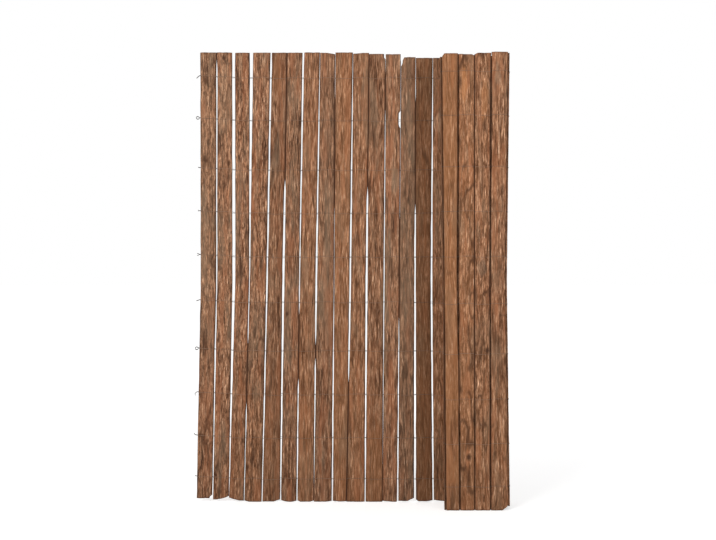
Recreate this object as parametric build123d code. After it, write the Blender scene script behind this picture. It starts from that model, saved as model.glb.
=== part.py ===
from build123d import *
from cmath import rect
from itertools import count
from math import cos, radians, tan
import os

# Bark slats
screen_length = 3000        # the whole screen laid out flat
slat_length = 1800
slat_width = 60
slat_gap = 6
slat_thickness = 9
edge_thickness = 5          # a slat is thinner along its two long edges
edge_slope = 7              # width of the bevel that leads to the thin edge

# Tie wires, two to a row, passing in front of and behind the slats in turn
wire_rows = 10
wire_diameter = 1.2
wire_clearance = 0.25
wire_margin = 90            # from the slat ends to the first and last row
tail_length = 18            # twisted ends past the free edge
inner_tail = 6              # twisted ends inside the roll
tail_bend = 2.5             # from a slat's edge to where the two wires meet

# The roll: a straight back row, a right end, a front row, then turns wound inside it
back_slats = 18
front_slats = 4
end_turn = 85               # degrees from a row to the roll's right end
left_turn = 96              # degrees from the front row to the roll's left side
layer_clearance = 1         # between the wires of one turn and the next
turn_step = 1               # degrees between the turns that the winding tries
sharpest_turn = 110
spread_step = 1             # the right end's slats widen by this until the whole screen winds in
check_points = 12           # places along a slat where its clearance is measured

# How far each row of wire lies from an even spacing, lowest row first
row_drift = (3, -12, -18, -22, -7, -4, -8, -14, 6, -3)

# The free edge leans: its place at the bottom, middle and top
edge_lean = (-3, 14, 12)

# Slats as sawn, from the free edge on. Each row is what the slat adds to the nominal one:
# its width at the bottom, middle and top, the gap after it at the same heights,
# how far its lower end is cut back, and how far its upper end stands above the nominal length.
cut_list = (
    ((3, 1, 3), (-2, -1, 0), 14, 11),
    ((2, 2, 0), (-3, 5, 5), 9, 11),
    ((-2, -4, 0), (-3, -3, 7), 4, 10),
    ((9, 7, 10), (-2, -1, 0), 0, 10),
    ((10, -1, 0), (-1, 2, -3), 1, 10),
    ((1, 0, 0), (-1, -3, 1), 0, 10),
    ((4, 3, 2), (-3, 0, -3), 0, 11),
    ((10, 7, -1), (0, -3, -3), 0, 10),
    ((-7, 1, 8), (-3, 0, -3), 0, 11),
    ((11, -1, 2), (-1, 1, -3), 0, 9),
    ((6, 5, 4), (-3, -2, -3), 0, 5),
    ((-3, -2, -1), (1, -3, -3), 0, 4),
    ((1, -1, -4), (3, 0, -3), 3, -8),
    ((6, 0, 6), (0, 0, -3), 2, -11),
    ((9, 7, 8), (0, 0, 0), 1, -11),
    ((4, 3, 5), (0, 0, 0), 0, -12),
    ((4, 3, 5), (0, 0, 0), 0, -19),
    ((3, 2, 4), (0, 0, 0), 0, -15),
    ((0, 0, 0), (0, 0, 0), 0, -24),
    ((0, 0, 0), (0, 0, 0), 15, -21),
    ((6, -4, 2), (-2, -2, -1), 0, -18),
    ((-2, -4, 1), (-2, 1, -1), 0, -22),
    ((-7, -3, -2), (-2, 1, -2), 0, -27),
    ((-8, -11, 3), (0, 0, 0), 0, -24),
)
plain_cut = ((0, 0, 0), (0, 0, 0), 0)
inner_tops = (-31, -26, -35, -28, -24, -30)      # upper ends inside the roll, in turn

# Corners broken off a slat: which long edge, which end, how far along the end and up the edge
broken_corners = {
    5: ("last", "bottom", 24, 8),
    13: ("first", "top", 7, 12),
    21: ("first", "bottom", 22, 17),
    24: ("last", "top", 10, 13),
}

# Worked out from the driving dimensions
slat_count = round(screen_length / (slat_width + slat_gap))
level_heights = (0, slat_length / 2, slat_length)
middle = 1
wire_reach = slat_thickness / 2 + wire_clearance + wire_diameter / 2
layer_pitch = 2 * wire_reach + wire_diameter + layer_clearance
row_spacing = (slat_length - 2 * wire_margin) / (wire_rows - 1)
right_end = back_slats + 1
front_start = right_end + 2
left_start = front_start + front_slats
outer_turns = {
    right_end: end_turn,
    right_end + 1: 180 - 2 * end_turn,
    front_start: end_turn,
    left_start: left_turn,
}


# Places seen from above are complex numbers, x + y * 1j, and a factor of 1j turns a direction left.

def cut_of(number):
    if number <= len(cut_list):
        return cut_list[number - 1]
    return (*plain_cut, inner_tops[number % len(inner_tops)])


def direction(first, last):
    return (last - first) / abs(last - first)


def wire_room(turn):
    # the least gap in which a wire passes between two slats that meet at this turn
    half = radians(turn / 2)
    return 2 * ((wire_diameter / 2 + wire_clearance) / cos(half) + edge_thickness / 2 * tan(half))


def width_of(number, level, spread):
    at_end = number in (right_end, right_end + 1)
    return slat_width + cut_of(number)[0][level] + at_end * spread


def lay_slat(number, level, spread, turn, before):
    # the slat after the one before, as its first edge, last edge and heading
    first, last, heading = before
    gap = max(wire_room(turn), slat_gap + cut_of(number - 1)[1][level])
    crossing = last + rect(gap / 2, radians(heading))
    heading -= turn
    start = crossing + rect(gap / 2, radians(heading))
    return start, start + rect(width_of(number, level, spread), radians(heading)), heading


def lay_screen(level, spread, turns):
    start = complex(edge_lean[level], 0)
    slats = [(start, start + width_of(1, level, spread), 0)]
    for number, turn in enumerate(turns, start=2):
        slats.append(lay_slat(number, level, spread, turn, slats[-1]))
    return slats


def distance(point, slat):
    run = slat[1] - slat[0]
    share = ((point - slat[0]) / run).real
    return abs(point - slat[0] - run * min(max(share, 0), 1))


def is_clear(slat, others):
    # measured along the slat and across the gap after it
    first, last, heading = slat
    run = last - first + rect(slat_gap, radians(heading))
    points = [first + run * step / check_points for step in range(check_points + 1)]
    return all(distance(point, other) >= layer_pitch for point in points for other in others)


def wind_screen(spread):
    # the turn before each slat: given round the outside, and inside the roll the least one that stays
    # clear of all that is laid, until the core is full
    turns = [outer_turns.get(number, 0) for number in range(2, left_start + 1)]
    laid = lay_screen(middle, spread, turns)
    for number in range(left_start + 1, slat_count + 1):
        for turn in range(0, sharpest_turn, turn_step):
            slat = lay_slat(number, middle, spread, turn, laid[-1])
            if is_clear(slat, laid[:-1]):
                break
        else:
            break
        turns.append(turn)
        laid.append(slat)
    return turns


for end_spread in count(0, spread_step):
    turns = wind_screen(end_spread)
    if len(turns) == slat_count - 1:
        break
levels = [lay_screen(level, end_spread, turns) for level in range(len(level_heights))]
slat_numbers = range(1, slat_count + 1)


def edges_at(number, height):
    # the two long edges of a slat at a height, straight between the levels
    lower = 0 if height < level_heights[middle] else middle
    share = (height - level_heights[lower]) / (level_heights[lower + 1] - level_heights[lower])
    below = levels[lower][number - 1]
    above = levels[lower + 1][number - 1]
    return [below[side] + (above[side] - below[side]) * share for side in (0, 1)]


def flat_face(outline):
    return make_face(Polyline(*[(point.real, point.imag) for point in outline], close=True))


def slat_section(number, height, first_inset, last_inset):
    first, last = edges_at(number, height)
    along = direction(first, last)
    first += along * first_inset
    last -= along * last_inset
    slope = along * edge_slope
    thin = along * 1j * edge_thickness / 2
    thick = along * 1j * slat_thickness / 2
    one_side = [first - thin, first + slope - thick, last - slope - thick, last - thin]
    other_side = [last + thin, last - slope + thick, first + slope + thick, first + thin]
    return Plane.XY.offset(height) * flat_face(one_side + other_side)


def make_slat(number):
    lift, above = cut_of(number)[2:]
    top = slat_length + above
    edge, end, across, up = broken_corners.get(number, ("last", "top", 0, 0))
    insets = (across, 0) if edge == "first" else (0, across)
    stations = [(lift, 0, 0), (level_heights[middle], 0, 0), (top, 0, 0)]
    if across and end == "bottom":
        stations[:1] = [(lift, *insets), (lift + up, 0, 0)]
    elif across:
        stations[-1:] = [(top - up, 0, 0), (top, *insets)]
    return loft([slat_section(number, *station) for station in stations], ruled=True)


def crossing_after(number, height):
    # where the wires cross in the gap after a slat, and how far short of its edge the inner wire turns
    half = radians(turns[number - 1] / 2)
    first, last = edges_at(number, height)
    half_gap = abs(edges_at(number + 1, height)[0] - last) / 2 / cos(half)
    return last + direction(first, last) * half_gap, max(0, wire_reach * tan(half) - half_gap)


def wire_path(height, side):
    # one wire seen from above: along each slat on one side, then through the gap to the other side
    first, last = edges_at(1, height)
    along = direction(first, last)
    path = [first - along * tail_length, first - along * tail_bend]
    inset = 0
    for number in slat_numbers:
        first, last = edges_at(number, height)
        along = direction(first, last)
        is_last = number == slat_numbers[-1]
        crossing, next_inset = (last + along * tail_bend, 0) if is_last else crossing_after(number, height)
        face = along * 1j * wire_reach * side
        inner = side < 0
        path.append(first + face + along * inset * inner)
        path.append(last + face - along * next_inset * inner)
        if is_last or turns[number - 1]:
            path.append(crossing)
        inset = next_inset
        side = -side
    return path + [last + along * inner_tail]


def wire_band(path):
    # the band that a wire covers: its path set off to both sides with mitred corners
    runs = [direction(before, after) for before, after in zip(path, path[1:])]
    left, right = [], []
    for point, before, after in zip(path, [runs[0], *runs], [*runs, runs[-1]]):
        mitre = (before + after) * 1j / abs(before + after) ** 2 * wire_diameter
        left.append(point + mitre)
        right.append(point - mitre)
    return flat_face(left + right[::-1])


def make_tie(row):
    height = wire_margin + row * row_spacing + row_drift[row % len(row_drift)]
    lift = (wire_diameter + wire_clearance) / 2
    wires = []
    for side in (1, -1):
        bottom = Plane.XY.offset(height + side * lift - wire_diameter / 2)
        wires.append(extrude(bottom * wire_band(wire_path(height, side)), amount=wire_diameter))
    return wires


nodes = {f"slat_{number:02d}": [make_slat(number)] for number in slat_numbers}
nodes |= {f"tie_wire_{row + 1:02d}": make_tie(row) for row in range(wire_rows)}

# The frame's origin is on the floor, under the middle of the screen
box = Compound([solid for solids in nodes.values() for solid in solids]).bounding_box()
to_frame = Location((-box.center().X, -box.center().Y, -box.min.Z))

os.makedirs("parts", exist_ok=True)
for name, solids in nodes.items():
    export_step(to_frame * Compound(solids), f"parts/{name}.step")
print(len(slat_numbers), "slats, size", box.size, "origin at", box.center().X, box.center().Y)
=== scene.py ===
import bpy
import numpy as np
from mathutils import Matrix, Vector


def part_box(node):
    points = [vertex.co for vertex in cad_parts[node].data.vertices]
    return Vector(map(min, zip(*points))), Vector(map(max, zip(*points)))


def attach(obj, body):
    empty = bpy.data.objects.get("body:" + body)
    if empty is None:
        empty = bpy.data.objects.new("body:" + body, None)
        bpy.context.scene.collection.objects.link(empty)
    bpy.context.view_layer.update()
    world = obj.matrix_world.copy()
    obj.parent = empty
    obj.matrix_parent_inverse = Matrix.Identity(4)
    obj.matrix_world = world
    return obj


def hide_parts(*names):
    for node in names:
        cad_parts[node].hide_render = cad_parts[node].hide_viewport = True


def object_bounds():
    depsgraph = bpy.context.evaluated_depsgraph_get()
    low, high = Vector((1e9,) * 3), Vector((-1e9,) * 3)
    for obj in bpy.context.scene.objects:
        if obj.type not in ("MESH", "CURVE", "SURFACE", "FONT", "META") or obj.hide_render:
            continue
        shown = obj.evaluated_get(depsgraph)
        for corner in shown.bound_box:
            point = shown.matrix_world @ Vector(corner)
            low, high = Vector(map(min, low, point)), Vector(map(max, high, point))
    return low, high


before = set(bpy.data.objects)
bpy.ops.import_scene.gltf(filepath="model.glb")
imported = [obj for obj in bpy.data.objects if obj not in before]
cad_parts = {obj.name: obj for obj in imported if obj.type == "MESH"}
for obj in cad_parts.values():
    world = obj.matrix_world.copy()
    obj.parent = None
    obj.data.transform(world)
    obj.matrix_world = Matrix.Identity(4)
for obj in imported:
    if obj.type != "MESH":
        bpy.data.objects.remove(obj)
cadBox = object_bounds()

# The photograph's view: a level camera at about half height, which keeps upright edges upright
photoView = {
    "pixelsWide": 716,
    "metresPerPixel": 0.004028,     # on the flat part's front face
    "distance": 4.3,                # camera to that face
    "eyeHeight": 0.934,
    "acrossFrame": 0.0341,          # where the camera stands along the screen
    "sensor": 36.0,
}


def makeCamera(view):
    data = bpy.data.cameras.new("photoCamera")
    camera = bpy.data.objects.new("photoCamera", data)
    bpy.context.scene.collection.objects.link(camera)
    viewWidth = view["pixelsWide"] * view["metresPerPixel"]
    data.sensor_fit = "HORIZONTAL"
    data.sensor_width = view["sensor"]
    data.lens = view["sensor"] * view["distance"] / viewWidth
    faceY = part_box("slat_07")[0][1]         # a slat in the middle of the flat part
    camera.location = (view["acrossFrame"], faceY - view["distance"], view["eyeHeight"])
    camera.rotation_euler = (np.pi / 2, 0, 0)
    bpy.context.scene.camera = camera


makeCamera(photoView)
print("camera set")

# Noise and mesh helpers

latticeSize = 64
noiseMiddle = 0.5       # the noise's middle value
midCell = 0.5           # where a single line of noise passes through the lattice's cells
mmPerMetre = 1000


def smoothStep(share):
    return share * share * (3 - 2 * share)


def smoothRise(values, low, high):
    # 0 up to the low value, 1 from the high one on, and a smoothstep between them
    return smoothStep(np.clip((values - low) / (high - low), 0, 1))


def smoothFall(values, low, high):
    # 1 up to the low value, 0 from the high one on
    return smoothRise(-values, -high, -low)


def latticeNoise(x, z, seed):
    # random values on a unit lattice, blended by a smoothstep in both directions, from 0 to 1
    table = np.random.default_rng(seed).random((latticeSize, latticeSize))
    cellX, cellZ = np.floor(x).astype(int), np.floor(z).astype(int)
    partX, partZ = smoothStep(x - cellX), smoothStep(z - cellZ)
    cellX, cellZ = cellX % latticeSize, cellZ % latticeSize
    nextX, nextZ = (cellX + 1) % latticeSize, (cellZ + 1) % latticeSize
    low = table[cellX, cellZ] * (1 - partX) + table[nextX, cellZ] * partX
    high = table[cellX, nextZ] * (1 - partX) + table[nextX, nextZ] * partX
    return low * (1 - partZ) + high * partZ


def cellNoise(across, height, cell, seed):
    # the same noise with cells of a given width and height
    return latticeNoise(across / cell[0], height / cell[1], seed)


def withEnds(rows):
    # the first and the last row twice, for the rows that close a tube at its ends
    return np.concatenate([rows[:1], rows, rows[-1:]])


def gridMesh(name, points, closedAcross, values):
    # a rows by columns array of points as a quad mesh, its columns joined round where it is closed,
    # with a value at every point for each named field
    rows, columns = points.shape[:2]
    mesh = bpy.data.meshes.new(name)
    index = np.arange(rows * columns).reshape(rows, columns)
    nextColumn = np.roll(index, -1, axis=1) if closedAcross else index[:, 1:]
    here = index if closedAcross else index[:, :-1]
    quads = np.stack([here[:-1], nextColumn[:-1], nextColumn[1:], here[1:]], axis=-1).reshape(-1, 4)
    quads = quads[:, ::-1] if closedAcross else quads       # faces outward
    mesh.vertices.add(rows * columns)
    mesh.vertices.foreach_set("co", points.reshape(-1).astype(np.float32))
    mesh.loops.add(quads.size)
    mesh.loops.foreach_set("vertex_index", quads.reshape(-1).astype(np.int32))
    mesh.polygons.add(len(quads))
    mesh.polygons.foreach_set("loop_start", np.arange(0, quads.size, 4, dtype=np.int32))
    mesh.update(calc_edges=True)
    for label, data in values.items():
        layer = mesh.attributes.new(label, "FLOAT", "POINT")
        everyPoint = np.broadcast_to(data, (rows, columns)).reshape(-1)
        layer.data.foreach_set("value", everyPoint.astype(np.float32))
    mesh.shade_smooth()
    piece = bpy.data.objects.new(name, mesh)
    bpy.context.scene.collection.objects.link(piece)
    return piece


# Where the slats stand, read from the frame

slatNames = sorted(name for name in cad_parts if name.startswith("slat_"))
wireNames = sorted(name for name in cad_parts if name.startswith("tie_wire_"))
rowHeights = np.array([(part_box(name)[0][2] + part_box(name)[1][2]) / 2 for name in wireNames])
middleRow = 4           # the row of wire along which the slats are put in order
levelDigits = 4         # corners that agree to this many digits of a metre are level
sameLevel = 10.0 ** -levelDigits


def readEdges(node):
    # the two upright edges of a slat, each as rows of height, x and y
    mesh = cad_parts[node].data
    flat = np.empty(len(mesh.vertices) * 3, dtype=np.float32)
    mesh.vertices.foreach_get("co", flat)
    points = flat.reshape(-1, 3).astype(float)
    heights = np.unique(points[:, 2].round(levelDigits))
    levels = [np.abs(points[:, 2] - height) < sameLevel for height in heights]
    plan = points[:, :2]
    across = np.linalg.svd(plan - plan.mean(axis=0), full_matrices=False)[2][0]     # along its width
    place = plan @ across
    centres = [(place[level].min() + place[level].max()) / 2 for level in (levels[0], levels[-1])]
    fromMiddle = place - np.interp(points[:, 2], heights[[0, -1]], centres)
    edges = []
    for side in (-1, 1):
        rows = []
        for height, level in zip(heights, levels):
            near = level & (side * fromMiddle > 0)
            if near.any():
                outermost = near & (side * fromMiddle > (side * fromMiddle)[near].max() - sameLevel)
                rows.append([height, *plan[outermost].mean(axis=0)])
        edges.append(np.array(rows))
    return edges


def edgesAt(slat, heights):
    # both edges of a slat at each height, straight between the heights that are given for them
    return [
        np.stack([np.interp(heights, edge[:, 0], edge[:, axis]) for axis in (1, 2)], axis=-1)
        for edge in slat["edges"]
    ]


def readScreen():
    # every slat in order along the screen, turned so that each starts where the one before ends
    slats = []
    end = np.array([cadBox[0][0], cadBox[1][1]])
    for node in slatNames:
        slat = {"node": node, "edges": readEdges(node)}
        first, last = edgesAt(slat, rowHeights[[middleRow]])
        if np.linalg.norm(last - end) < np.linalg.norm(first - end):
            slat["edges"].reverse()
            last = first
        end = last
        slat["bottom"], slat["top"] = (corner[2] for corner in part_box(node))
        slats.append(slat)
    return slats


screen = readScreen()
print("slats read:", len(screen), "wire rows:", len(rowHeights))

# Bark slats, in metres. A cell is the width and height over which a noise changes.

barkSlat = {
    "flatRow": range(1, 16),        # slats of the flat part, whose inner face is the one to the front
    "frontRow": range(21, 25),      # slats on the front of the roll
    "halfWidth": 0.03,              # of a common slat
    "core": 0.0032,                 # half the thickness at the bottom of the shallow furrows
    "ridge": 0.0014,                # height of the flakes above that
    "edgePower": 5.0,               # how late the faces round off towards the edges
    # The grid
    "shownSlats": 26,               # the first slats, which show most and have the finer grid
    "rows": 232,                    # along such a slat
    "columns": 27,                  # across each of its faces
    "innerRows": 110,               # the same for the rest, deep inside the roll
    "innerColumns": 15,
    "endRows": (0, 0.0015, 0.004, 0.008),   # how far from an end its own rows lie
    "endMargin": 0.014,             # and how far from it the even rows begin
    "evenShare": 0.62,              # 1 spaces the columns evenly, 0 crowds them at the edges
    "firstSeed": 1000,
    "seedStep": 20,                 # seeds set aside for each slat
    "edgeSeed": 900,
    "faceShift": 0.5,               # how far apart the two faces lie in the noise
    # Flakes and furrows
    "flakeWidth": 0.0044,
    "flakeLength": 0.026,
    "smallFlakes": (1.9, 2),        # how many times narrower and shorter the small ones are
    "smallWeight": 0.7,             # and how much they count
    "plateWidth": 0.0085,
    "plateLength": 0.11,
    "furrow": 0.07,                 # width of a furrow as a share of the noise's range
    "furrowCell": (0.035, 0.16),
    "furrowGate": (0.35, 0.65),     # values of that noise between which furrows set in
    "sway": 0.007,                  # how far the grain sways in short waves
    "swayCell": (0.03, 0.07),
    "drift": 0.014,                 # and in long ones
    "driftCell": (0.2, 0.35),
    "broadCell": (0.022, 0.2),      # broad swells
    "meanRelief": 0.6,              # the relief's mean, and how much each layer adds or takes off
    "broadRelief": 0.4,
    "grainRelief": 0.6,
    "furrowRelief": 0.6,
    "broadTint": 0.25,              # how much the broad swells count in the colour
    # Knots
    "knotStretch": 0.7,             # heights count this much, so that knots are longer than wide
    "swellingFall": 0.8,            # how fast a knot's swelling ends
    "pitFall": 1.5,                 # and its pit
    "knotRelief": 0.35,
    "pitRelief": 0.9,
    # Long edges
    "edgeWander": 0.0009,           # how far a raw edge strays in and out
    "edgeCell": 0.05,               # over what length
    "lowGrowth": 0.0005,            # how far edges stand out near the ground
    "growthSpan": (0.4, 0.9),       # heights between which that ends
    "frontGrowth": 0.0008,          # how far they stand out on the front of the roll
    "touchGap": 0.0042,             # gaps narrower than this are closed by loose fibres
    "touchRange": 0.0014,           # wholly where they are this much narrower
    "touchRoom": 0.0003,            # each side's share of the slit that is left
    "overhangRise": 0.2,            # height over which an overhang sets in
    "closureRise": 0.06,            # height over which a closed stretch begins and ends
    "closureLap": 0.0002,           # how far each side goes past the gap's middle there
    "biteSlope": 0.75,              # share of a bite's half height that has its full depth
    # Ends
    "endWander": 0.0012,            # how far a raw end cuts in
    "endCell": 0.012,               # over what width
    "endReach": 0.03,               # how far along the slat a cut end is felt
    # Tints
    "patchCell": (0.3, 0.03),       # here the width is a share of half a slat
    "patchRagged": 0.7,             # how ragged a patch's border is
    "patchFade": (0.6, 1.2),        # shares of its size between which it fades
    "fadeHeights": (0.1, 0.45, 0.8, 1.2, 1.6),
    "fade": (0.91, 0.955, 1.035, 1.06, 1.02),       # painted shade, darker towards the ground
    "lowWarmth": 0.15,              # warmer there too
    "warmthSpan": (0.2, 0.8),       # heights between which that ends
    # Dark edges: the raw edge's own darker colour, and painted shade
    "leastShade": 0.5,              # painted shade of the long edge away from the light
    "moreShade": 0.6,               # added here and there
    "shadeCell": 0.22,              # over what length
    "litShade": 0.52,               # of the long edge in light: the raw edge's darker colour, with some painted shade
    "borderSpan": (0.80, 0.96),     # places across between which an edge darkens
    "seamShade": 1.3,               # painted shade in the crease where a gap is closed
    "seamSpan": (0.88, 0.95),
    "topRim": 0.6,                  # painted shade at the upper end, where the painted contact shadow at the lower end has 1
    "rimHeight": 0.004,
}
# Lightness and warmth of the bark as the photograph shows them, where they are not plain
plainTone = (1.0, 0.0)
slatTones = {
    1: (1.0, -0.2), 2: (1.06, -0.1), 5: (0.80, 0.05), 6: (0.97, -0.1), 7: (1.0, 0.15),
    8: (0.95, -0.15), 9: (0.97, 0.3), 10: (1.0, 0.15), 11: (0.92, 0.05), 12: (1.10, -0.1),
    13: (0.97, -0.35), 14: (0.59, 0.5), 15: (0.97, 0.15), 21: (1.07, 0.1), 22: (1.09, 0.15),
    23: (1.12, 0.3), 24: (0.95, 0.66), 25: (0.82, 0.3),
}
# How strongly a slat flakes, 1 where it is not listed: less leaves a straight smooth grain,
# more gives it wavy cracks
flakings = {
    1: 1.15, 2: 1.15, 3: 1.15, 4: 1.1, 5: 0.6, 6: 0.8, 7: 0.6, 8: 0.65, 9: 0.6, 10: 0.7, 11: 0.65,
    12: 0.7, 13: 0.75, 14: 0.75, 21: 0.8, 22: 1.1, 23: 1.1, 24: 0.65,
}
# How dark the painted shade along the long edge away from the light is, 1 where a slat is not listed
paintedEdgeShades = {
    1: 1.5, 3: 1.5, 4: 1.3, 5: 1.4, 6: 1.3, 9: 1.5, 12: 1.4, 20: 0.1, 21: 0.1, 22: 1.3, 24: 1.3,
}
# Slats with open cracks: width of a crack as a share of the noise's range, and metres between cracks
cracks = {21: (0.05, 0.018), 22: (0.08, 0.020), 23: (0.08, 0.020), 24: (0.06, 0.015)}
# Knots: slat, place across from -1 to 1, height, radius
knots = [
    (2, -0.1, 1.788, 0.011),
    (6, -0.55, 0.757, 0.010),
    (22, -0.64, 0.621, 0.013),
    (23, -0.2, 0.207, 0.016),
]
# Tinted places: slat, place across, height, half sizes across and up, added lightness, added warmth
patches = [
    (2, 0.0, 1.62, 1.5, 0.16, 0.12, -0.3),
    (5, -0.4, 1.72, 0.8, 0.09, -0.06, 0.4),
    (8, 0.9, 1.66, 0.3, 0.14, -0.25, 0.0),
    (11, 0.0, 0.10, 2.0, 0.19, -0.04, 0.35),
    (12, 0.8, 1.54, 0.4, 0.035, -0.12, 0.5),
    (12, 0.4, 1.30, 0.6, 0.06, 0.05, -0.5),
    (15, -0.5, 1.53, 0.5, 0.04, 0.7, -0.5),
    (21, 0.2, 1.685, 0.5, 0.05, 0.05, -0.6),
    (22, 0.1, 0.941, 0.7, 0.036, -0.28, -0.5),
    (22, -0.2, 1.596, 0.5, 0.08, 0.05, 0.5),
    (23, 0.3, 1.656, 0.3, 0.07, 0.02, 0.7),
    (23, 0.8, 0.094, 0.7, 0.12, -0.26, 0.0),
    (24, -0.3, 0.291, 0.5, 0.09, -0.06, -0.3),
    (24, -0.2, 0.044, 1.2, 0.07, -0.10, -0.4),
]
# Pieces torn out of an edge: slat, edge, lower and upper height, depth
bites = [
    (1, 1, 0.0, 0.024, 0.011),
    (11, 1, 1.784, 1.83, 0.006),
    (12, 1, 1.508, 1.574, 0.007),
    (13, 0, 1.758, 1.82, 0.006),
]
# Edges that stand out into a gap above a height: slat, edge, height, distance
overhangs = [(1, 1, 0.6, 0.0018), (13, 0, -0.2, 0.001)]
# Narrow gaps that stay open outside the closed stretches below, by the slat before
openGaps = (3, 6)
# Stretches where loose fibres close a gap: the slat before, lower and upper height
closures = [
    (1, 1.735, 1.95),
    (3, 0.36, 0.68),
    (5, 1.25, 1.9),
    (6, 0.45, 0.80),
    (7, 0.53, 0.68),
    (8, 1.15, 1.66),
    (9, -0.1, 0.53),
    (10, 1.22, 1.9),
    (11, 1.54, 1.77),
    (12, 0.70, 1.17),
    (13, 1.15, 1.66),
    (21, 1.74, 1.95),
    (22, 0.36, 1.9),
    (23, 0.36, 0.62),
]
# Ends out of square: millimetres cut from the end, by place across
squareEnd = ((-1, 0), (1, 0))
endCuts = {
    ("bottom", 2): ((-1, 0), (-0.3, 1), (0.6, 8), (1, 14)),
    ("bottom", 3): ((-1, 12), (-0.3, 6), (0.4, 1), (1, 0)),
    ("bottom", 4): ((-1, 5), (-0.4, 0), (1, 0)),
    ("bottom", 6): ((-1, 6), (-0.2, 0), (0.4, 0), (1, 4)),
    ("bottom", 7): ((-1, 5), (-0.6, 0), (0.5, 0), (1, 5)),
    ("bottom", 8): ((-1, 0), (0.3, 0.5), (1, 3)),
    ("bottom", 9): ((-1, 3), (0, 1), (1, 1.5)),
    ("bottom", 12): ((-1, 4), (0.2, 0), (1, 0)),
    ("bottom", 13): ((-1, 0), (0.2, 0), (0.5, 6), (1, 12)),
    ("bottom", 14): ((-1, 7), (-0.7, 0), (0.3, 0), (1, 4)),
    ("bottom", 15): ((-1, 6), (0.2, 1), (1, 0)),
    ("top", 8): ((-1, 0), (0, 1), (1, 6)),
    ("top", 10): ((-1, 3), (0.3, 0), (1, 0)),
    ("top", 22): ((-1, 0), (0.6, 0), (1, 6)),
    ("top", 23): ((-1, 7), (-0.7, 1), (1, 0)),
    ("top", 25): ((-1, 10), (1, 14)),
}


def barkRelief(number, across, height, seed, flaking, style):
    # flakes of two sizes along a swaying grain, with furrows here and there where a coarser noise
    # crosses its middle value: the relief from 0 to 1, the furrows and the grain that colours them
    sway = style["sway"] * (cellNoise(across, height, style["swayCell"], seed) - noiseMiddle)
    drift = style["drift"] * (cellNoise(across, height, style["driftCell"], seed + 1) - noiseMiddle)
    swayed = across + flaking * (sway + drift)
    crackWidth, crackSpacing = cracks.get(number, (style["furrow"], style["plateWidth"]))
    plates = latticeNoise(swayed / crackSpacing, height / style["plateLength"] * flaking, seed + 2)
    gate = smoothRise(cellNoise(across, height, style["furrowCell"], seed + 5), *style["furrowGate"])
    furrow = np.exp(-((plates - noiseMiddle) / crackWidth) ** 2) * gate * flaking
    flakeX, flakeZ = swayed / style["flakeWidth"], height / (style["flakeLength"] / flaking)
    narrower, shorter = style["smallFlakes"]
    large = latticeNoise(flakeX, flakeZ, seed + 3) - noiseMiddle
    small = latticeNoise(flakeX * narrower, flakeZ * shorter, seed + 6) - noiseMiddle
    broad = cellNoise(across, height, style["broadCell"], seed + 4) - noiseMiddle
    grain = large + style["smallWeight"] * small
    relief = style["meanRelief"] + style["broadRelief"] * broad + style["grainRelief"] * grain
    relief = np.clip(relief - style["furrowRelief"] * furrow, 0, 1)
    return relief, furrow, grain + style["broadTint"] * broad


def knotShape(number, across, height, style):
    # a low flat swelling with a round pit in it, for each knot of the slat
    swelling, pit = np.zeros(height.shape), np.zeros(height.shape)
    for slat, place, level, radius in knots:
        if slat == number:
            aside = (across - place) * style["halfWidth"]
            above = (height - level) * style["knotStretch"]
            distance = np.hypot(aside, above) / radius
            swelling = swelling + np.exp(-(distance * style["swellingFall"]) ** 4)
            pit = pit + np.exp(-(distance * style["pitFall"]) ** 2)
    return swelling, pit


def tintOf(number, across, height, seed, style):
    # the slat's own lightness and warmth, with its patches faded in at ragged borders, and painted shade
    # towards the ground
    tone, warmth = (np.full(height.shape, value) for value in slatTones.get(number, plainTone))
    ragged = cellNoise(across, height, style["patchCell"], seed + 11) - noiseMiddle
    for slat, place, level, wide, high, lighter, warmer in patches:
        if slat == number:
            distance = np.hypot((across - place) / wide, (height - level) / high)
            share = 1 - smoothRise(distance + style["patchRagged"] * ragged, *style["patchFade"])
            tone, warmth = tone + lighter * share, warmth + warmer * share
    # painted shade: darker towards the ground
    tone = tone * np.interp(height, style["fadeHeights"], style["fade"])
    return tone, warmth + style["lowWarmth"] * smoothFall(height, *style["warmthSpan"])


def edgePlace(number, edge, level, style):
    # how far a long edge stands in from the slat's edge: raw and torn, or grown over a narrow gap,
    # and the share of each level at which fibres close the gap
    seed = style["edgeSeed"] + 2 * number + edge
    noise = latticeNoise(np.full(len(level), midCell), level / style["edgeCell"], seed)
    inset = style["edgeWander"] * (2 * noise - 1)
    seam = np.zeros(len(level))
    for slat, side, low, distance in overhangs:
        if (slat, side) == (number, edge):
            inset = inset - distance * smoothRise(level, low, low + style["overhangRise"])
    other = number + (1 if edge else -1)
    before = min(number, other)
    if any(number in row and other in row for row in (style["flatRow"], style["frontRow"])):
        here = edgesAt(screen[number - 1], level)[edge]
        gap = np.linalg.norm(edgesAt(screen[other - 1], level)[1 - edge] - here, axis=1)
        if number in style["frontRow"]:
            inset = inset - style["frontGrowth"]
        else:
            if before not in openGaps:
                closed = smoothFall(gap, style["touchGap"] - style["touchRange"], style["touchGap"])
                inset = inset * (1 - closed) - closed * (gap / 2 - style["touchRoom"])
            inset = inset - style["lowGrowth"] * smoothFall(level, *style["growthSpan"])
        rise = style["closureRise"]
        for slat, low, high in closures:
            if slat == before:
                closed = smoothRise(level, low, low + rise) * smoothFall(level, high - rise, high)
                inset = inset * (1 - closed) - closed * (gap / 2 + style["closureLap"])
                seam = np.maximum(seam, closed)
    for slat, side, low, high, depth in bites:
        if (slat, side) == (number, edge):
            reach = (high - low) / 2
            away = np.abs(level - (low + high) / 2)
            inset = inset + depth * (1 - smoothRise(away, style["biteSlope"] * reach, reach))
    return inset, seam


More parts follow.
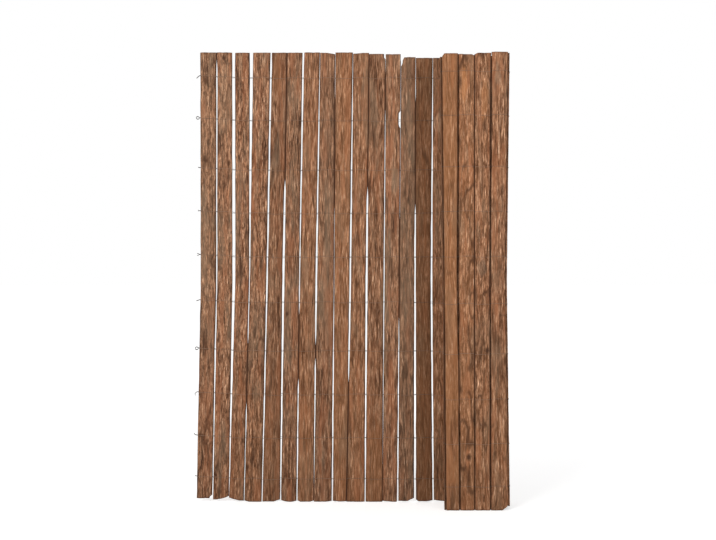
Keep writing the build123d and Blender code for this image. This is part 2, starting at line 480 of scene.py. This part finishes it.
def slatGrid(slat, shown, style):
    # the heights of the rows, and once round the section each column's place across and its face:
    # the place is part even steps and part the sine of the turn, the face is 1 or -1
    rows = style["rows"] if shown else style["innerRows"]
    columns = style["columns"] if shown else style["innerColumns"]
    bottom, top, margin = slat["bottom"], slat["top"], style["endMargin"]
    ends = np.array(style["endRows"])
    level = [bottom + ends, np.linspace(bottom + margin, top - margin, rows), top - ends[::-1]]
    turn = np.linspace(-np.pi / 2, np.pi / 2, columns)
    place = style["evenShare"] * turn / (np.pi / 2) + (1 - style["evenShare"]) * np.sin(turn)
    across = np.concatenate([place, place[-2:0:-1]])
    side = np.concatenate([np.ones(columns), -np.ones(columns - 2)])
    return np.concatenate(level), across, side


def cutEnds(number, slat, across, ragged, height, style):
    # heights moved up or down to the end's cut, less and less away from the end
    ends = (("bottom", height - slat["bottom"], 1), ("top", slat["top"] - height, -1))
    for end, distance, sign in ends:
        cut = np.array(endCuts.get((end, number), squareEnd), dtype=float)
        depth = np.interp(across, cut[:, 0], cut[:, 1] / mmPerMetre) + ragged
        height = height + sign * depth * np.clip(1 - distance / style["endReach"], 0, 1)
    return np.clip(height, 0, cadBox[1][2])


def rawEdgeAndShade(number, across, height, seam, seed, style):
    # raw long edges darker, painted shade mostly along the one away from the light, darkest in closed
    # gaps' creases
    noise = latticeNoise(np.full_like(height, midCell), height / style["shadeCell"], seed + 12)
    shade = (style["leastShade"] + style["moreShade"] * noise) * paintedEdgeShades.get(number, 1.0)
    shadedEdge = -1 if number >= style["frontRow"].start else 1
    border = smoothRise(np.abs(across), *style["borderSpan"])
    border = border * np.where(across * shadedEdge > 0, shade, style["litShade"])
    return np.maximum(border, style["seamShade"] * seam * smoothRise(np.abs(across), *style["seamSpan"]))


def makeSlat(number, slat, style):
    # a closed tube of bark: across it, two faces that round off together at the edges; along it, rows
    # between its two ends, where the section closes flat on its own middle line
    level, across, side = slatGrid(slat, number <= style["shownSlats"], style)
    first, last = edgesAt(slat, level)
    width = np.linalg.norm(last - first, axis=1)
    along = (last - first) / width[:, None]
    outward = np.stack([-along[:, 1], along[:, 0]], axis=-1)
    lowInset, lowSeam = edgePlace(number, 0, level, style)
    highInset, highSeam = edgePlace(number, 1, level, style)
    low, high = lowInset[:, None], (width - highInset)[:, None]
    across, height = np.meshgrid(across, level)
    place = (low + high) / 2 + across * (high - low) / 2

    seed = style["firstSeed"] + style["seedStep"] * number
    flaking = flakings.get(number, 1.0)
    noisePlace = place + style["faceShift"] * (side < 0)
    relief, furrow, grain = barkRelief(number, noisePlace, height, seed, flaking, style)
    frontSide = -1 if number in style["flatRow"] else 1
    swelling, pit = (shape * (side == frontSide) for shape in knotShape(number, across, height, style))
    relief = np.clip(relief + style["knotRelief"] * swelling - style["pitRelief"] * pit, 0, 1)
    rounding = np.sqrt(np.clip(1 - np.abs(across) ** style["edgePower"], 0, 1))
    half = rounding * (style["core"] + style["ridge"] * relief)
    tone, warmth = tintOf(number, across, height, seed, style)
    # a painted contact shadow along the lower end, and painted shade along the upper one
    bottomRimShadow = np.exp((slat["bottom"] - height) / style["rimHeight"])
    topRim = style["topRim"] * np.exp((height - slat["top"]) / style["rimHeight"])

    endNoise = latticeNoise(place / style["endCell"], np.full_like(place, midCell), seed + 9)
    height = cutEnds(number, slat, across, style["endWander"] * endNoise ** 2, height, style)
    middle = first[:, None, :] + along[:, None, :] * place[..., None]
    plan = middle + outward[:, None, :] * (side * half)[..., None]
    flat = np.concatenate([middle, height[..., None]], axis=-1)
    points = np.concatenate([flat[:1], np.concatenate([plan, height[..., None]], axis=-1), flat[-1:]])

    seam = np.where(across < 0, lowSeam[:, None], highSeam[:, None])
    border = rawEdgeAndShade(number, across, height, seam, seed, style)
    fields = {
        "furrow": np.clip(furrow - swelling, 0, 1),
        "grain": grain,
        "flaking": np.full(height.shape, flaking),
        "knot": np.clip(pit, 0, 1),
        "tone": tone,
        "warmth": warmth,
        # painted shade along the long edges, in closed seams and at the ends, over the raw edges' own
        # darker colour
        "edge": np.maximum(border, np.maximum(bottomRimShadow, topRim)),
    }
    fields = {label: withEnds(field) for label, field in fields.items()}
    piece = gridMesh("bark" + slat["node"].title().replace("_", ""), points, True, fields)
    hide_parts(slat["node"])
    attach(piece, "root")
    return piece


slatPieces = [makeSlat(number, slat, barkSlat) for number, slat in enumerate(screen, start=1)]
print("bark slats made:", len(slatPieces))

# Tie wires: two a row, passing each other between the slats, with their tails at the free edge

tieWire = {
    "radius": 0.0006,
    "sides": 6,
    "ringStart": (0.1, 0.62, 0.78),     # a direction that no wire runs along
    "reach": 0.0053,                # wire centre to slat middle, over a face
    "edgeReach": 0.0031,            # the same where it passes an edge
    "reachPower": 6,                # how late it comes in towards the edge
    "apart": 0.000725,              # each wire above or below the row's height, at the least
    "slack": 0.004,                 # how far it strays further
    "strayPoints": 7,               # points of the path over which that changes
    "straySeed": 70,
    "edgeRise": 0.011,              # how far a row climbs towards the free edge
    "riseSlats": 2.5,               # over how many slats
    "stations": (0.03, 0.14, 0.5, 0.86, 0.97),      # the path's points, as shares of a slat's width
    "steps": 2,                     # from one point to the next
    "endPast": 0.002,               # how far a wire goes past the last slat
    "tailSteps": 8,
    "twist": 0.0065,                # length of one turn in a tail
    "twistStart": 0.003,            # length beside the slat over which the winding sets in
    "tailGrowth": 0.9,              # how much thicker the wound tails are
    "gapGrowth": 0.3,               # and the rusted lengths between the slats
}
# Tails by row from the bottom: millimetres from the free edge, along and up, tip first,
# and how far the tips part
wireTails = [
    ([(-8, 0.5), (-4, 0)], 0.0),
    ([(-15, 7), (-11, 2), (-5, 0)], 0.0),
    ([(-13, -14), (-14.5, -8), (-10, -2), (-4, 0)], 0.0),
    ([(-4, -1.5), (-9, -6), (-15, -5), (-16, 1.5), (-11, 5), (-4, 1.5)], 0.0),
    ([(-16, -4), (-9, -2), (-4, 0)], 0.0),
    ([(-14.5, 0), (-8, 0), (-3, 0)], 4.5),
    ([(-10, 0.5), (-5, 0)], 2.0),
    ([(-9, 1), (-4, 0)], 0.0),
    ([(-4, -2), (-10, -5), (-16, -2), (-15.5, 4), (-9.5, 5.5), (-3.5, 1.5)], 0.0),
    ([(-15, -11), (-9, -5), (-3.5, -1)], 0.0),
]


def smoothPath(points, steps):
    # a Catmull-Rom curve through the points, the same number of steps between each two
    before = np.concatenate([2 * points[:1] - points[1:2], points[:-2]])
    after = np.concatenate([points[2:], 2 * points[-1:] - points[-2:-1]])
    start, end = points[:-1], points[1:]
    share = np.linspace(0, 1, steps, endpoint=False)[None, :, None]
    before, start, end, after = (part[:, None, :] for part in (before, start, end, after))
    bend = 2 * before - 5 * start + 4 * end - after
    swing = 3 * (start - end) + after - before
    curve = 0.5 * (2 * start + (end - before) * share + bend * share ** 2 + swing * share ** 3)
    return np.concatenate([curve.reshape(-1, 3), points[-1:]])


def tubePoints(path, radius, style):
    # a ring of points round each point of the path, closed to a point at both ends
    heading = np.gradient(path, axis=0)
    heading /= np.linalg.norm(heading, axis=1)[:, None]
    level = np.cross(heading, np.array(style["ringStart"]))
    level /= np.linalg.norm(level, axis=1)[:, None]
    rise = np.cross(level, heading)
    turn = np.linspace(0, 2 * np.pi, style["sides"], endpoint=False)[None, :, None]
    ring = level[:, None, :] * np.cos(turn) + rise[:, None, :] * np.sin(turn)
    ring = path[:, None, :] + radius[:, None, None] * ring
    ends = np.broadcast_to(path[[0, -1], None, :], (2, style["sides"], 3))
    return np.concatenate([ends[:1], ring, ends[1:]])


def wireTail(row, sign, edge, start, style):
    # the wire from its tip to its first point on the screen, wound round the row's other wire by the sine
    # and cosine of its length, and how fully it is wound
    tail, part = wireTails[row]
    tail = np.array(tail, dtype=float) / mmPerMetre
    fade = np.linspace(1, 0, len(tail))
    centre = np.column_stack([
        edge[0] + tail[:, 0],
        np.full(len(tail), edge[1]),
        edge[2] + tail[:, 1] + sign * part / mmPerMetre * fade,
    ])
    path = smoothPath(np.concatenate([centre, start]), style["tailSteps"])[:-1]
    length = np.concatenate([[0], np.cumsum(np.linalg.norm(np.diff(path, axis=0), axis=1))])
    phase = 2 * np.pi * (length[-1] - length) / style["twist"]
    wound = np.clip((length[-1] - length) / style["twistStart"], 0, 1)
    path[:, 1] += sign * style["apart"] * np.sin(phase) * wound
    path[:, 2] += sign * style["apart"] * np.cos(phase)
    return path, wound


def wireThrough(row, sign, style):
    # the wire's path past every slat: over one face, through the gap, over the next slat's other face
    height = rowHeights[row]
    edges = np.array([edgesAt(slat, rowHeights[[row]]) for slat in screen])
    first, last = edges[:, 0, 0], edges[:, 1, 0]
    along = (last - first) / np.linalg.norm(last - first, axis=1)[:, None]
    outward = np.stack([-along[:, 1], along[:, 0]], axis=-1)
    side = sign * (-1.0) ** np.arange(len(screen))
    stations = np.array(style["stations"])
    edgeShare = np.abs(2 * stations - 1) ** style["reachPower"]
    reach = style["reach"] + (style["edgeReach"] - style["reach"]) * edgeShare
    over = first[:, None, :] + (last - first)[:, None, :] * stations[None, :, None]
    over = over + outward[:, None, :] * (side[:, None] * reach[None, :])[..., None]
    crossing = (last[:-1] + first[1:]) / 2
    crossing = np.concatenate([crossing, last[-1:] + along[-1:] * style["endPast"]])
    plan = np.concatenate([over, crossing[:, None, :]], axis=1).reshape(-1, 2)
    place = np.arange(len(plan)) / style["strayPoints"]
    stray = latticeNoise(place, np.full(len(plan), row + midCell), style["straySeed"] + sign)
    stray = stray * np.clip(place, 0, 1)
    slatsPast = np.arange(len(plan)) / (len(stations) + 1)
    rise = style["edgeRise"] * np.clip(1 - slatsPast / style["riseSlats"], 0, 1)
    run = np.column_stack([plan, height + rise + sign * (style["apart"] + style["slack"] * stray ** 2)])

    tail, wound = wireTail(row, sign, (*first[0], height + rise[0]), run[:1], style)
    past = smoothPath(run, style["steps"])
    cycle = style["steps"] * (len(stations) + 1)        # steps from one slat to the next
    slatIndex, step = np.divmod(np.arange(len(past)), cycle)
    inGap = step / style["steps"] > len(stations) - 1
    growth = np.concatenate([style["tailGrowth"] * wound, style["gapGrowth"] * inGap])
    tones = np.array([slatTones.get(number + 1, plainTone)[0] for number in range(len(screen))])
    values = {
        # dark off the bark: rust in the tails, rust and painted shade in the gaps between slats
        "rust": np.concatenate([np.ones(len(tail)), inGap]),
        "tone": np.concatenate([np.ones(len(tail)), tones[np.minimum(slatIndex, len(screen) - 1)]]),
    }
    return np.concatenate([tail, past]), style["radius"] * (1 + growth), values


def makeWires(style):
    pieces = []
    for row, node in enumerate(wireNames):
        for sign, label in ((1, "Upper"), (-1, "Lower")):
            path, radius, values = wireThrough(row, sign, style)
            values = {field: withEnds(data)[:, None] for field, data in values.items()}
            points = tubePoints(path, radius, style)
            piece = gridMesh("tieWire%02d%s" % (row + 1, label), points, True, values)
            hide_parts(node)
            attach(piece, "root")
            pieces.append(piece)
    return pieces


wirePieces = makeWires(tieWire)
print("tie wires made:", len(wirePieces))

# Finishes

barkLook = {
    # Noises: scale along each axis, detail, roughness, distortion
    "strandNoise": ((310.0, 310.0, 20.0), 5.0, 0.62, 0.6),
    "plateNoise": ((120.0, 120.0, 10.0), 3.0, 0.55, 1.2),
    "fleckNoise": ((260.0, 260.0, 56.0), 2.0, 0.5, 1.0),
    "greyNoise": ((24.0, 24.0, 4.0), 3.0, 0.55, 0.5),
    "redNoise": ((44.0, 44.0, 4.0), 3.0, 0.55, 0.5),
    # Colours of the strands, and what the other layers multiply them by
    "strandStops": [
        (0.30, (0.066, 0.026, 0.011, 1)),
        (0.44, (0.198, 0.088, 0.044, 1)),
        (0.57, (0.322, 0.167, 0.093, 1)),
        (0.72, (0.620, 0.400, 0.268, 1)),
    ],
    "plateStops": [
        (0.37, (0.46, 0.41, 0.38, 1)),
        (0.63, (1.46, 1.48, 1.49, 1)),
    ],
    "fleckStops": [
        (0.32, (0.35, 0.30, 0.27, 1)),
        (0.50, (1.03, 1.03, 1.03, 1)),
        (0.68, (1.38, 1.41, 1.43, 1)),
    ],
    "grainStops": [
        (0.0, (0.42, 0.36, 0.32, 1)),
        (0.5, (1.0, 1.0, 1.0, 1)),
        (1.0, (1.30, 1.35, 1.38, 1)),
    ],
    # Spreads: two values of a noise or a field, and the shares that they give
    "flakingSpread": (0.3, 1.1, 0.2, 1.0),
    "grainSpread": (-0.62, 0.62, 0.0, 1.0),
    "greySpread": (0.50, 0.68, 0.0, 0.5),
    "redSpread": (0.50, 0.66, 0.0, 0.5),
    "warmSpread": (0.0, 1.0, 0.0, 0.6),
    "coolSpread": (0.0, -1.0, 0.0, 0.9),
    "furrowSpread": (0.15, 1.0, 0.0, 0.7),
    "knotSpread": (0.2, 0.8, 0.0, 0.9),
    "edgeSpread": (0.1, 1.2, 0.0, 0.97),
    "greyColour": (0.212, 0.142, 0.090, 1),
    "redColour": (0.340, 0.125, 0.055, 1),
    "warmColour": (0.445, 0.185, 0.070, 1),
    "furrowColour": (0.055, 0.022, 0.010, 1),
    "knotColour": (0.060, 0.026, 0.014, 1),
    # the raw edges' dark colour, also used for painted shade at the edges, seams and ends
    "edgeColour": (0.070, 0.028, 0.014, 1),
    "roughness": 0.88,
    "sheen": 0.2,
    "bump": 0.5,
    "bumpDepth": 0.0025,
}


def addNode(tree, kind, **settings):
    node = tree.nodes.new(kind)
    for name, value in settings.items():
        setattr(node, name, value)
    return node


def noiseFrom(tree, scale, detail, roughness, distortion):
    # smooth noise over the object's own coordinates, drawn out along the slat
    place = addNode(tree, "ShaderNodeTexCoord")
    mapping = addNode(tree, "ShaderNodeMapping")
    mapping.inputs["Scale"].default_value = scale
    noise = addNode(tree, "ShaderNodeTexNoise")
    noise.inputs["Scale"].default_value = 1.0
    noise.inputs["Detail"].default_value = detail
    noise.inputs["Roughness"].default_value = roughness
    noise.inputs["Distortion"].default_value = distortion
    tree.links.new(place.outputs["Object"], mapping.inputs["Vector"])
    tree.links.new(mapping.outputs["Vector"], noise.inputs["Vector"])
    return noise.outputs["Fac"]


def rampFrom(tree, source, stops):
    ramp = addNode(tree, "ShaderNodeValToRGB")
    elements = ramp.color_ramp.elements
    while len(elements) < len(stops):
        elements.new(1.0)
    for element, (place, colour) in zip(elements, stops):
        element.position = place
        element.color = colour
    tree.links.new(source, ramp.inputs["Fac"])
    return ramp.outputs["Color"]


def attributeOf(tree, name):
    return addNode(tree, "ShaderNodeAttribute", attribute_name=name).outputs["Fac"]


def spread(tree, source, low, high, lowest, highest):
    # the source between two values, carried over to two others and held there
    node = addNode(tree, "ShaderNodeMapRange")
    for label, value in (("From Min", low), ("From Max", high), ("To Min", lowest), ("To Max", highest)):
        node.inputs[label].default_value = value
    tree.links.new(source, node.inputs["Value"])
    return node.outputs["Result"]


def blend(tree, mode, share, base, other):
    # base mixed with a colour, or with another node's colour, by a share
    node = addNode(tree, "ShaderNodeMix", data_type="RGBA", blend_type=mode)
    shareSocket, baseSocket, otherSocket = (node.inputs[place] for place in (0, 6, 7))  # those for colours
    for socket, value in ((shareSocket, share), (baseSocket, base), (otherSocket, other)):
        if isinstance(value, bpy.types.NodeSocket):
            tree.links.new(value, socket)
        else:
            socket.default_value = value
    return node.outputs[2]


def tinted(tree, colour, source, limits, tint):
    # the colour mixed with a tint by the share that a noise or a field gives
    return blend(tree, "MIX", spread(tree, source, *limits), colour, tint)


def newFinish(name):
    material = bpy.data.materials.new(name)
    material.use_nodes = True
    return material, material.node_tree, material.node_tree.nodes["Principled BSDF"]


def barkFinish(look):
    # strands, multiplied by plates, flecks and the relief's own grain, then tinted one field at a time
    material, tree, shader = newFinish("bark")
    strands = noiseFrom(tree, *look["strandNoise"])
    plates = noiseFrom(tree, *look["plateNoise"])
    flecks = noiseFrom(tree, *look["fleckNoise"])
    grey = noiseFrom(tree, *look["greyNoise"])
    red = noiseFrom(tree, *look["redNoise"])
    flaking = spread(tree, attributeOf(tree, "flaking"), *look["flakingSpread"])
    grain = spread(tree, attributeOf(tree, "grain"), *look["grainSpread"])
    warmth = attributeOf(tree, "warmth")
    colour = rampFrom(tree, strands, look["strandStops"])
    colour = blend(tree, "MULTIPLY", 1.0, colour, rampFrom(tree, plates, look["plateStops"]))
    colour = blend(tree, "MULTIPLY", flaking, colour, rampFrom(tree, flecks, look["fleckStops"]))
    colour = blend(tree, "MULTIPLY", 1.0, colour, rampFrom(tree, grain, look["grainStops"]))
    colour = tinted(tree, colour, grey, look["greySpread"], look["greyColour"])
    colour = tinted(tree, colour, red, look["redSpread"], look["redColour"])
    colour = tinted(tree, colour, warmth, look["warmSpread"], look["warmColour"])
    colour = tinted(tree, colour, warmth, look["coolSpread"], look["greyColour"])
    colour = tinted(tree, colour, attributeOf(tree, "furrow"), look["furrowSpread"], look["furrowColour"])
    # the slat's tone, with painted shade darker towards the ground
    colour = blend(tree, "MULTIPLY", 1.0, colour, attributeOf(tree, "tone"))
    colour = tinted(tree, colour, attributeOf(tree, "knot"), look["knotSpread"], look["knotColour"])
    # painted shade at the edges, seams and ends, with the raw edges' own darker colour
    colour = tinted(tree, colour, attributeOf(tree, "edge"), look["edgeSpread"], look["edgeColour"])
    tree.links.new(colour, shader.inputs["Base Color"])
    shader.inputs["Roughness"].default_value = look["roughness"]
    shader.inputs["Specular IOR Level"].default_value = look["sheen"]
    bump = addNode(tree, "ShaderNodeBump")
    bump.inputs["Strength"].default_value = look["bump"]
    bump.inputs["Distance"].default_value = look["bumpDepth"]
    tree.links.new(strands, bump.inputs["Height"])
    tree.links.new(bump.outputs["Normal"], shader.inputs["Normal"])
    return material


wireLook = {
    "overBark": (0.270, 0.158, 0.098, 1),
    "rusty": (0.032, 0.021, 0.015, 1),      # where the wire stands clear of the bark: rust, with painted shade in the gaps between slats
    "roughness": 0.65,
}


def wireFinish(look):
    # over a slat as light or dark as its bark; dark with rust in the tails, and with rust and painted
    # shade in the gaps
    material, tree, shader = newFinish("tieWire")
    colour = blend(tree, "MULTIPLY", 1.0, look["overBark"], attributeOf(tree, "tone"))
    colour = blend(tree, "MIX", attributeOf(tree, "rust"), colour, look["rusty"])
    tree.links.new(colour, shader.inputs["Base Color"])
    shader.inputs["Roughness"].default_value = look["roughness"]
    return material


barkMaterial = barkFinish(barkLook)
for piece in slatPieces:
    piece.data.materials.append(barkMaterial)
wireMaterial = wireFinish(wireLook)
for piece in wirePieces:
    piece.data.materials.append(wireMaterial)
print("finishes set")

# Floor, light and world

studio = {
    "floorHalf": 60.0,
    "floorPoints": 81,              # along a side
    "floorPower": 3,                # how they crowd towards the middle
    "floorColour": (0.66, 0.66, 0.66, 1),
    "nearLift": 0.58,               # added for the camera near the screen, where its shadow falls
    "farLift": 0.80,                # and far away, where the lamps don't reach
    "liftSpan": (1.5, 7.0),         # distances between which the one becomes the other
    "worldStrength": 0.38,
    "white": (1, 1, 1, 1),
    "lampSize": 2.4,
    "lamps": {                      # place, aim, power and colour
        "keyLight": ((-2.4, -3.6, 3.2), (0, 0, 1.2), 170.0, (1.0, 0.98, 0.95)),
        "fillLight": ((3.2, -3.6, 2.2), (0, 0, 0.9), 45.0, (0.96, 0.98, 1.0)),
        "backLight": ((1.2, 4.2, 3.0), (0, 0, 0.9), 70.0, (1.0, 1.0, 1.0)),
    },
}


def makeFloor(style):
    # a level square whose points lie at a power of even steps, across and away
    side = style["floorHalf"] * np.linspace(-1, 1, style["floorPoints"]) ** style["floorPower"]
    points = np.stack(np.broadcast_arrays(side[None, :], side[:, None], 0.0), axis=-1)
    far = smoothRise(np.hypot(side[None, :], side[:, None]), *style["liftSpan"])
    lift = style["nearLift"] + (style["farLift"] - style["nearLift"]) * far
    piece = gridMesh("studioFloor", points, False, {"lift": lift})
    return piece


def cameraWhite(tree):
    # 1 for the rays that show a background: straight to the camera, mirrored or through glass
    path = addNode(tree, "ShaderNodeLightPath")
    shows = path.outputs["Is Camera Ray"]
    for label in ("Is Glossy Ray", "Is Transmission Ray"):
        either = addNode(tree, "ShaderNodeMath", operation="MAXIMUM")
        tree.links.new(shows, either.inputs[0])
        tree.links.new(path.outputs[label], either.inputs[1])
        shows = either.outputs[0]
    return shows


def floorFinish(style):
    # pale paint that takes the shadow, lifted towards white for the rays that show a background
    material = bpy.data.materials.new("paleFloor")
    material.use_nodes = True
    tree = material.node_tree
    tree.nodes.clear()
    output = addNode(tree, "ShaderNodeOutputMaterial")
    paint = addNode(tree, "ShaderNodeBsdfDiffuse")
    paint.inputs["Color"].default_value = style["floorColour"]
    glow = addNode(tree, "ShaderNodeEmission")
    gain = addNode(tree, "ShaderNodeMath", operation="MULTIPLY")
    both = addNode(tree, "ShaderNodeAddShader")
    tree.links.new(cameraWhite(tree), gain.inputs[0])
    tree.links.new(attributeOf(tree, "lift"), gain.inputs[1])
    tree.links.new(gain.outputs[0], glow.inputs["Strength"])
    tree.links.new(paint.outputs[0], both.inputs[0])
    tree.links.new(glow.outputs[0], both.inputs[1])
    tree.links.new(both.outputs[0], output.inputs["Surface"])
    return material


def makeLamp(name, place, aim, power, colour, size):
    data = bpy.data.lights.new(name, "AREA")
    data.shape = "SQUARE"
    data.size = size
    data.energy = power
    data.color = colour
    lamp = bpy.data.objects.new(name, data)
    bpy.context.scene.collection.objects.link(lamp)
    lamp.visible_camera = False
    lamp.location = place
    lamp.rotation_euler = (Vector(aim) - Vector(place)).to_track_quat("-Z", "Y").to_euler()


def makeWorld(style):
    # a soft light from all round, and plain white for the rays that show a background
    world = bpy.data.worlds.new("studioWorld")
    bpy.context.scene.world = world
    world.use_nodes = True
    tree = world.node_tree
    tree.nodes.clear()
    output = addNode(tree, "ShaderNodeOutputWorld")
    mix = addNode(tree, "ShaderNodeMixShader")
    tree.links.new(cameraWhite(tree), mix.inputs["Fac"])
    for place, strength in ((1, style["worldStrength"]), (2, 1.0)):
        sky = addNode(tree, "ShaderNodeBackground")
        sky.inputs["Color"].default_value = style["white"]
        sky.inputs["Strength"].default_value = strength
        tree.links.new(sky.outputs[0], mix.inputs[place])
    tree.links.new(mix.outputs[0], output.inputs["Surface"])


def makeStudio(style):
    floor = makeFloor(style)
    floor.data.materials.append(floorFinish(style))
    for name, lamp in style["lamps"].items():
        makeLamp(name, *lamp, style["lampSize"])
    makeWorld(style)


makeStudio(studio)
bpy.context.scene.view_settings.view_transform = "Standard"
print("studio lit")
